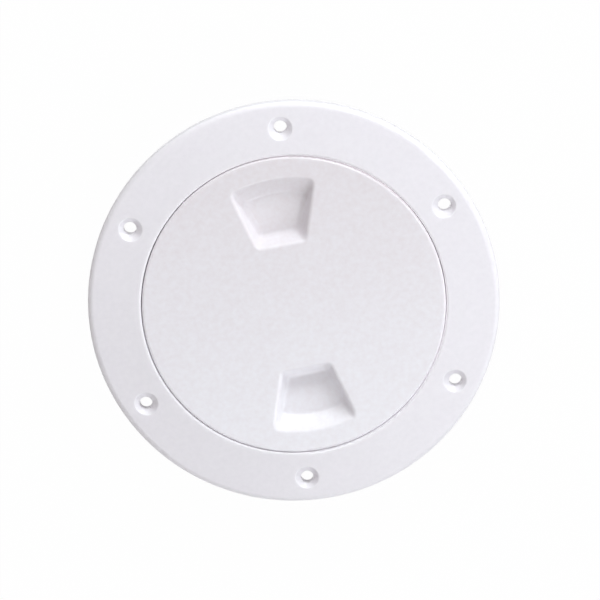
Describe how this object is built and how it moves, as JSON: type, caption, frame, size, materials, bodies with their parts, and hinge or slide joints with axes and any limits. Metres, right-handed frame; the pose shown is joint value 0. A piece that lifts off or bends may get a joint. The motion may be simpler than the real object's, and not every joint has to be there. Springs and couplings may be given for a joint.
{
  "type": "deck inspection plate",
  "caption": "Round flange with a threaded neck, screwed down over a cut-out in a deck, and a flush lid with finger pockets that screws out of it and seals on a rubber cord ring.",
  "frame": {"origin": "on the axis of the opening, in the plane of the deck's surface, which the flange's underside lies on", "axes": "+Z along the axis, up out of the deck; +Y through one of the screw holes"},
  "size_m": [0.146, 0.146, 0.0223],
  "materials": {
    "ring_plastic": "satin white moulded plastic",
    "lid_plastic": "finely textured white moulded plastic",
    "seal_rubber": "smooth black nitrile rubber"
  },
  "bodies": {
    "ring": {"deck_ring": "ring_plastic"},
    "seal": {"o_ring": "seal_rubber"},
    "lid": {"screw_lid": "lid_plastic"}
  },
  "joints": [
    {"name": "lid_lift", "type": "slide", "parent": "ring", "child": "seal", "axis": [0, 0, 1], "range_m": [0, 0.01875]},
    {"name": "lid_turn", "type": "hinge", "parent": "seal", "child": "lid", "pos_m": [0, 0, 0], "axis": [0, 0, 1], "range_deg": [0, 1500]}
  ],
  "couplings": [
    {"joint": "lid_lift", "follows": "lid_turn", "m_per_rad": 0.0007162}
  ]
}
